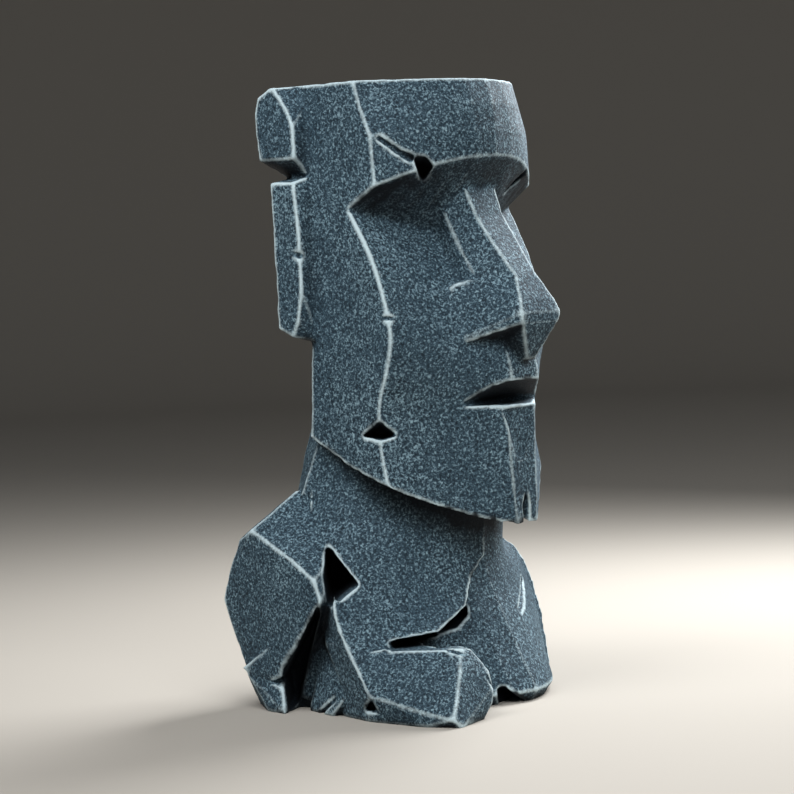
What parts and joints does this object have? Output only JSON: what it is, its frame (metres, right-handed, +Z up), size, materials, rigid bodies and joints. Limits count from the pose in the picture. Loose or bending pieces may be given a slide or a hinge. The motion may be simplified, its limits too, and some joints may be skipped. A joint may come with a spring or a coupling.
{
  "type": "stylised moai head statue",
  "caption": "Stylised stone moai: a long faceted head with heavy brow and long ears on a neck and boulder-like shoulders, standing on its flat underside.",
  "frame": {"origin": "centre of the bounding box in plan, on the plane the statue stands on", "axes": "+Z up; the face looks along -Y; +X is the statue's left, so the face's middle plane is parallel to the YZ plane"},
  "size_m": [0.1124, 0.0976, 0.1985],
  "materials": {
    "painted_stone": "slate grey, dry-brushed pale grey on the edges, matt"
  },
  "bodies": {
    "root": {"moai": "painted_stone"}
  },
  "joints": []
}
